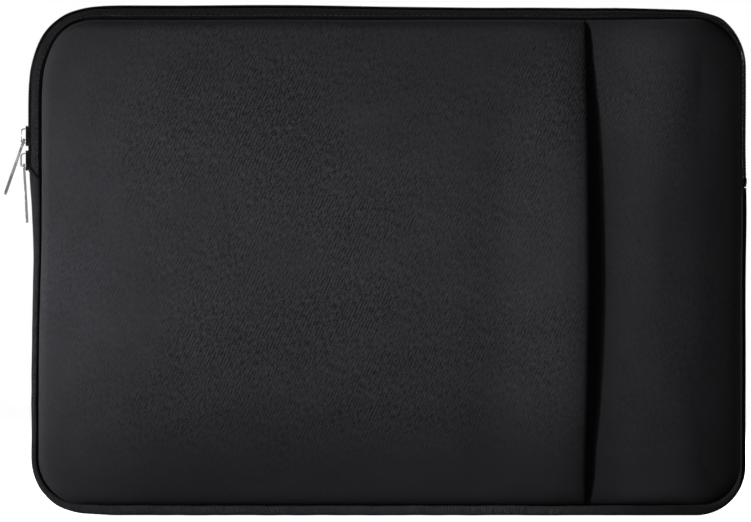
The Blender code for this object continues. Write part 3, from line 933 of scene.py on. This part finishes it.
def make_pocket():
    """The panel's free edge bows to the right, rolls in and lies close at both its ends."""
    obj = sheet("pocket_panel", SEAM, RIM_INSETS, pocket_depth, -1, NEOPRENE_POCKET)
    with edited(obj) as bm:
        for column in MOUTH_COLUMNS:
            cut(bm, (column * MM, 0, 0), (1, 0, 0), 1e-7)
        cut(bm, (POCKET_MOUTH_X, 0, 0), (1, 0, 0), 1e-7, clear_outer=True)
    cut_rows(obj)
    points = coords(obj)
    x, z = points[:, 0], points[:, 2]
    middle = (z - SEAM[2]) / (SEAM[3] - SEAM[2])
    bow = 1 - (2 * middle - 1) ** 2
    near = smooth(x, 40 * MM, POCKET_MOUTH_X)
    gap = np.minimum(z - SEAM[2], SEAM[3] - z)
    free = roll(gap, 9 * MM)
    curl = np.clip((x - (POCKET_MOUTH_X - MOUTH_ROLL)) / MOUTH_ROLL, 0, 1)
    points[:, 0] += near * (2.4 * MM * bow - 1.3 * MM)
    points[:, 1] += (1.8 * MM * curl ** 2 + 0.9 * MM * curl ** 12) * free
    points[:, 1] += 1.2 * MM * curl * np.exp(-gap / (9 * MM))
    set_coords(obj, points)
    fill_out(obj, 2.0, 1.0 * MM, hem_x=POCKET_MOUTH_X)
    set_coords(obj, settle(coords(obj)))
    solidify(obj, POCKET_THICKNESS)
    carried(obj, "pocket_panel_lower", "pocket_panel_flap", folds=True)


# ---- Gusset, bindings and zip tapes ----


def mirrored(half):
    """A profile's front half and its mirror image at the back."""
    return half + [(share, offset, -depth) for share, offset, depth in reversed(half)]


def gusset_profile():
    outer = [
        (0.0, -1.2 * MM, -7.0 * MM),
        (0.0, -0.5 * MM, -7.2 * MM),
        (0.0, 0.1 * MM, -7.3 * MM),
        (0.06, 0.2 * MM, -8.7 * MM),
        (0.16, 0.35 * MM, -9.5 * MM),
        (0.34, 0.4 * MM, -9.7 * MM),
        (0.58, 0.4 * MM, -9.7 * MM),
        (0.8, 0.3 * MM, -9.5 * MM),
        (0.94, 0.1 * MM, -8.7 * MM),
        (1.0, 0.0, -7.0 * MM),
        (1.0, 0.0, -3.0 * MM),
    ]
    inner = [
        (1.0, -1.4 * MM, 5.6 * MM),
        (0.9, -1.2 * MM, 6.6 * MM),
        (0.6, -0.9 * MM, 7.3 * MM),
        (0.2, -0.6 * MM, 7.1 * MM),
    ]
    return mirrored(outer) + list(reversed(inner)) + [(s, o, -d) for s, o, d in inner]


def ripple_gusset(obj):
    """Small puckers where the strip is sewn on, a flared end at the left, and a flat foot."""
    points = coords(obj)
    x, y, z = points.T
    shoulder = smooth(np.abs(y), 5.5 * MM, 8.5 * MM)
    low = 1 - smooth(z, 9 * MM, 40 * MM)
    along = noise_at(np.column_stack((x, 0 * x, 0.15 * z)), 11 * MM, 4)
    points[:, 2] += 0.55 * MM * shoulder * low * (0.35 + along) * (z < 12 * MM)
    points[:, 1] += 0.5 * MM * np.sign(y) * shoulder * along * low
    side = 1 - low
    creases = noise_at(np.column_stack((0 * x, 0.3 * y, z)), 9 * MM, 5)
    points[:, 0] -= 0.3 * MM * np.sign(x) * shoulder * side * creases
    flank = smooth(np.abs(y), 5.4 * MM, 7 * MM)

    def near_end(reach):
        return np.exp(-np.maximum(GUSSET_END_LEFT - z, 0) / reach) * (x < 0)

    outward = np.clip((SEAM[0] - x) / (4.3 * MM), 0, 1)
    points[:, 2] += near_end(9 * MM) * flank * (5.5 * MM * outward - 2.0 * MM)
    points[:, 0] -= 1.4 * MM * outward * near_end(16 * MM)
    points[:, 2] = np.maximum(points[:, 2], 0.0)
    set_coords(obj, points)


def tape_profile(sign):
    """Half of the zip: a pad beside the seam, then tape that turns down to a ledge at the coil."""
    outline = [
        (0.0, -1.2 * MM, 7.1 * MM),
        (0.0, -0.3 * MM, 7.3 * MM),
        (0.01, 0.1 * MM, 7.4 * MM),
        (0.05, 0.25 * MM, 8.5 * MM),
        (0.16, 0.35 * MM, 9.15 * MM),
        (0.32, 0.25 * MM, 9.15 * MM),
        (0.52, 0.0, 8.6 * MM),
        (0.75, -0.7 * MM, 7.6 * MM),
        (0.92, -1.5 * MM, 6.4 * MM),
        (1.0, -2.1 * MM, 5.1 * MM),
        (1.0, -2.3 * MM, 3.4 * MM),
        (1.0, -2.3 * MM, 0.5 * MM),
        (1.0, -2.9 * MM, 0.5 * MM),
        (1.0, -2.9 * MM, 4.9 * MM),
        (0.92, -2.2 * MM, 6.0 * MM),
        (0.5, -0.7 * MM, 7.6 * MM),
        (0.15, -0.4 * MM, 7.3 * MM),
    ]
    return [(share, offset, sign * depth) for share, offset, depth in outline]


def binding_profile(sign):
    """Folded tape round the seam's raw edges, inside."""
    outline = [
        (0.0, -4.4 * MM, 6.6 * MM),
        (0.0, -4.0 * MM, 7.0 * MM),
        (0.0, -2.2 * MM, 7.0 * MM),
        (0.0, -1.7 * MM, 6.5 * MM),
        (0.0, -1.7 * MM, 5.7 * MM),
        (0.0, -2.2 * MM, 5.2 * MM),
        (0.0, -4.0 * MM, 5.2 * MM),
        (0.0, -4.4 * MM, 5.6 * MM),
    ]
    return [(share, offset, sign * depth) for share, offset, depth in outline]


def full_path():
    """Once round the sleeve: down and along the gusset, and back over the zip."""
    return [*gusset_path()[:-1], *reversed(zip_path()), ("left", GUSSET_END_LEFT + 0.1 * MM)]


def make_strips():
    path = gusset_path()
    gusset = sweep("gusset_strip", path, GUSSET_FACE, gusset_profile(), NEOPRENE_STRIP)
    ripple_gusset(gusset)
    carried(gusset, "gusset_shell")
    lining = [
        (1, -1.7 * MM, -5.8 * MM), (1, -1.7 * MM, 5.8 * MM),
        (1, -2.2 * MM, 5.8 * MM), (1, -2.2 * MM, 0), (1, -2.2 * MM, -5.8 * MM),
    ]
    pile = sweep("gusset_pile_lining", path, GUSSET_FACE, lining, PLUSH)
    carried(pile, "gusset_lining")
    for sign, where, tapes in (
        (1, "rear", ["zip_tape_back"]),
        (-1, "front", ["zip_tape_front_left", "zip_tape_front_right", "zip_tape_front_flap"]),
    ):
        path = zip_path(tuck=TAPE_TUCK)
        tape = sweep(f"zip_tape_{where}", path, ZIP_RIDGE, tape_profile(sign), TAPE)
        carried(tape, *tapes, folds=sign < 0)
    for sign, where, bound in (
        (1, "rear", ["seam_binding_back"]),
        (-1, "front", ["seam_binding_front_lower", "seam_binding_front_flap"]),
    ):
        profile = binding_profile(sign)
        binding = sweep(f"seam_binding_{where}", full_path(), SEAM, profile, BINDING)
        carried(binding, *bound, folds=sign < 0)


# ---- Zip teeth and stitches, which repeat along a line ----


DEPTH_AXIS = np.array((0, 1, 0))


def places_along(path, share, offset, depth, pitch, first):
    """Even steps along the zip: positions, directions outward and along, and lengths so far."""
    points, outs = [], []
    for station in path:
        (sx, sz), _ = place(SEAM, station)
        (ex, ez), (nx, nz) = place(ZIP_RIDGE, station)
        x = sx + (ex - sx) * share + nx * offset
        z = sz + (ez - sz) * share + nz * offset
        points.append((x, depth, z))
        outs.append((nx, 0, nz))
    points, outs = np.array(points), np.array(outs)
    steps = np.linalg.norm(np.diff(points, axis=0), axis=1)
    length = np.concatenate(([0], np.cumsum(steps)))
    at = np.arange(first, length[-1] - 0.3 * pitch, pitch)
    where = np.column_stack([np.interp(at, length, points[:, k]) for k in range(3)])
    out = np.column_stack([np.interp(at, length, outs[:, k]) for k in range(3)])
    out /= np.linalg.norm(out, axis=1)[:, None]
    return where, out, np.cross(out, DEPTH_AXIS), at


def loft_many(name, places, local, cloth, sides, turned, material):
    """One small loft repeated at each place.

    local holds its rings of points as (along, outward, depth), and cloth their places in the weave.
    turned turns its faces over.
    """
    where, out, along, at = places
    points = (
        where[:, None, :]
        + local[None, :, 0, None] * along[:, None, :]
        + local[None, :, 1, None] * out[:, None, :]
        + local[None, :, 2, None] * DEPTH_AXIS
    )
    weave = np.repeat(cloth[None], len(where), axis=0)
    weave[:, :, 0] += at[:, None]
    last = len(local) - sides
    caps = [tuple(range(sides))[::-1], tuple(range(last, last + sides))]
    walls = []
    for ring in range(0, last, sides):
        for k in range(sides):
            n = (k + 1) % sides
            walls.append((ring + k, ring + n, ring + sides + n, ring + sides + k))
    if turned:
        caps = [face[::-1] for face in caps]
        walls = [face[:1] + face[:0:-1] for face in walls]
    one, count = caps + walls, len(local)
    faces = [tuple(i * count + v for v in face) for i in range(len(where)) for face in one]
    points = settle(points.reshape(-1, 3))
    return make_object(name, points, faces, weave.reshape(-1, 3), material)


def ring_angles(sides):
    return [k * 2 * math.pi / sides for k in range(sides)]


TOOTH_SIDES = 8
STITCH_SIDES = 6

# A tooth from its foot on the tape to its head, as depth, outward offset, height and width in mm
TOOTH_SECTIONS = (
    (3.3, -0.55, 0.25, 0.2),
    (3.15, -0.3, 0.65, 0.42),
    (2.7, 0.0, 0.95, 0.5),
    (1.6, 0.1, 0.92, 0.46),
    (0.6, 0.1, 0.9, 0.5),
    (0.0, 0.08, 0.88, 0.62),
    (-0.45, 0.05, 0.7, 0.56),
    (-0.65, 0.0, 0.35, 0.3),
)

# The core cord's section, as outward offset and depth in mm
CORD_SECTION = ((-1.9, 2.6), (-1.2, 2.6), (-0.9, 2.1), (-1.2, 1.6), (-1.9, 1.6))


def make_teeth():
    """Coil teeth, each a rounded loop from the tape to a wider head. The two sides interlock."""
    front = ["zip_coil_front_left", "zip_coil_front_right", "zip_coil_front_flap"]
    for sign, where, nodes, first in (
        (1, "rear", ["zip_coil_back"], 0.5 * TOOTH_PITCH),
        (-1, "front", front, TOOTH_PITCH),
    ):
        places = places_along(zip_path(1 * MM), 1, -1.05 * MM, 0, TOOTH_PITCH, first)
        local = MM * np.array([
            (width * math.cos(a), outward + height * math.sin(a), sign * depth)
            for depth, outward, height, width in TOOTH_SECTIONS
            for a in ring_angles(TOOTH_SIDES)
        ])
        name, cloth = f"zip_teeth_{where}", local[:, [0, 2, 1]]
        teeth = loft_many(name, places, local, cloth, TOOTH_SIDES, False, NYLON)
        carried(teeth, *nodes, folds=sign < 0)
        core = [(1, outward * MM, sign * depth * MM) for outward, depth in CORD_SECTION]
        cord = sweep(f"zip_core_cord_{where}", zip_path(), ZIP_RIDGE, core, NYLON)
        carried(cord, folds=sign < 0)


def make_stitches():
    """Lockstitch beside the seam, holding the tape: short threads that dip at both ends."""
    half, thick, dip = 1.15 * MM, 0.19 * MM, 0.22 * MM
    local = []
    for t in np.linspace(-1, 1, 7):
        size = thick * math.sqrt(max(1 - t ** 6, 0.06))
        for a in ring_angles(STITCH_SIDES):
            local.append((t * half, size * math.sin(a) - dip * t * t, size * math.cos(a)))
    local = np.array(local)
    cloth = np.column_stack((local[:, 0], local[:, 1] + local[:, 2], 0 * local[:, 0]))
    for sign, where in ((1, "rear"), (-1, "front")):
        line = (zip_path(1 * MM), 0.2, 0.34 * MM, sign * 9.42 * MM)
        places = places_along(*line, STITCH_PITCH, 0.5 * STITCH_PITCH)
        name = f"tape_stitching_{where}"
        threads = loft_many(name, places, local, cloth, STITCH_SIDES, True, THREAD)
        carried(threads, folds=sign < 0)


# ---- CAD pieces that keep their shape ----


def paint_metal():
    """Gives the sliders, their bridges and pulls, and the end stop their materials."""
    for name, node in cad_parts.items():
        if name.endswith("slider_body"):
            material = BLACK_METAL
        elif "slider" in name or "pull" in name:
            material = NICKEL
        elif name == "zip_stop_right":
            material = MOULDED
        else:
            continue
        node.data.materials.clear()
        node.data.materials.append(material)


# ---- Stage, light and camera ----

VIEW_CENTRE = Vector((-6.7 * MM, 0, 135.9 * MM))
VIEW_WIDTH = 401.8 * MM
CAMERA_DISTANCE = 4.0
SENSOR_WIDTH = 36

FLOOR_SIDE = 6.0
FLOOR_DROP = 0.2 * MM

KEY_PLACE, KEY_AIM = (-0.957, -0.646, 0.301), (0.07, -0.015, 0.134)
KEY_SPREAD = 28.6
COOL, WHITE = (1.0, 0.985, 1.03), (1, 1, 1)

# Each light's name, place, aim, size, watts, spread in degrees and colour
LIGHTS = (
    ("key_core", KEY_PLACE, KEY_AIM, (0.05, 0.10), 0.33, KEY_SPREAD, COOL),
    ("key_halo", KEY_PLACE, KEY_AIM, (0.50, 0.30), 0.30, KEY_SPREAD, COOL),
    ("near_left", (-0.30, -0.155, 0.03), (-0.27, -0.015, 0.144), (0.06, 0.06), 0.25, 118, COOL),
    ("rear", (0.95, 1.5, 0.6), (0, 0, 0.13), (0.8, 0.8), 42, 180, WHITE),
)

# The room that metal reflects: ceiling, ground, and the walls behind the sleeve and in front of it,
# each as an axis, where along it the surface starts and is at its full, and its brightness
ROOM = ((2, 0.15, 0.7, 0.6), (2, -0.2, -0.7, 0.35), (1, 0.2, 0.8, 0.2), (1, -0.9, -0.99, 0.30))
ROOM_FLOOR = 0.006
AMBIENT = 0.035


def make_camera():
    data = bpy.data.cameras.new("camera")
    data.sensor_width = SENSOR_WIDTH
    data.lens = SENSOR_WIDTH * CAMERA_DISTANCE / VIEW_WIDTH
    data.clip_end = 100
    camera = in_scene("camera", data)
    camera.location = VIEW_CENTRE + Vector((0, -CAMERA_DISTANCE, 0))
    camera.rotation_euler = (math.pi / 2, 0, 0)
    bpy.context.scene.camera = camera


def area_light(name, location, target, size, power, spread, colour):
    data = bpy.data.lights.new(name, "AREA")
    data.shape = "RECTANGLE"
    data.size, data.size_y = size
    data.energy = power
    data.spread = math.radians(spread)
    data.color = colour
    light = in_scene(name, data)
    light.location = location
    light.rotation_euler = (Vector(target) - Vector(location)).to_track_quat("-Z", "Y").to_euler()


def make_floor():
    """A pale floor that throws no light or reflection on the sleeve."""
    mesh = bpy.data.meshes.new("floor")
    half = FLOOR_SIDE / 2
    corners = [(-half, -half, 0), (half, -half, 0), (half, half, 0), (-half, half, 0)]
    mesh.from_pydata(corners, [], [(0, 1, 2, 3)])
    floor = in_scene("floor", mesh)
    floor.location.z = -FLOOR_DROP
    floor.visible_diffuse = False
    floor.visible_glossy = False
    n = Nodes("pale_floor")
    n.constant(Base_Color=(0.9, 0.9, 0.9, 1), Roughness=0.7)
    n.constant(Emission_Color=(1, 1, 1, 1), Emission_Strength=0.9)
    mesh.materials.append(n.material)


class WorldNodes(Nodes):
    """The same for the world's nodes."""

    def __init__(self, name):
        world = bpy.data.worlds.new(name)
        bpy.context.scene.world = world
        world.use_nodes = True
        self.tree = world.node_tree
        self.shader = self.tree.nodes["Background"]


def make_world():
    """White to the camera, nearly dark to cloth, and a bright ceiling over a dim room to metal."""
    n = WorldNodes("studio")
    n.constant(Color=(1, 1, 1, 1))
    rays = n.node("ShaderNodeLightPath").outputs
    parts = n.node("ShaderNodeSeparateXYZ")
    n.put(parts.inputs[0], n.node("ShaderNodeTexCoord").outputs["Generated"])
    room = 0.0
    for axis, low, high, brightness in ROOM:
        room = n.math("MAXIMUM", room, n.ramp(parts.outputs[axis], low, high, 0.0, brightness))
    glossy = n.times(n.total(room, ROOM_FLOOR), rays["Is Glossy Ray"])
    cloth = n.times(rays["Is Diffuse Ray"], AMBIENT)
    seen = n.math("MAXIMUM", rays["Is Camera Ray"], glossy)
    n.put(n.shader.inputs["Strength"], n.total(seen, cloth))


def make_stage():
    make_camera()
    make_floor()
    make_world()
    bpy.context.scene.view_settings.view_transform = "Standard"
    for light in LIGHTS:
        area_light(*light)


make_stage()
make_shells()
make_layers()
make_pocket()
make_strips()
make_teeth()
make_stitches()
paint_metal()
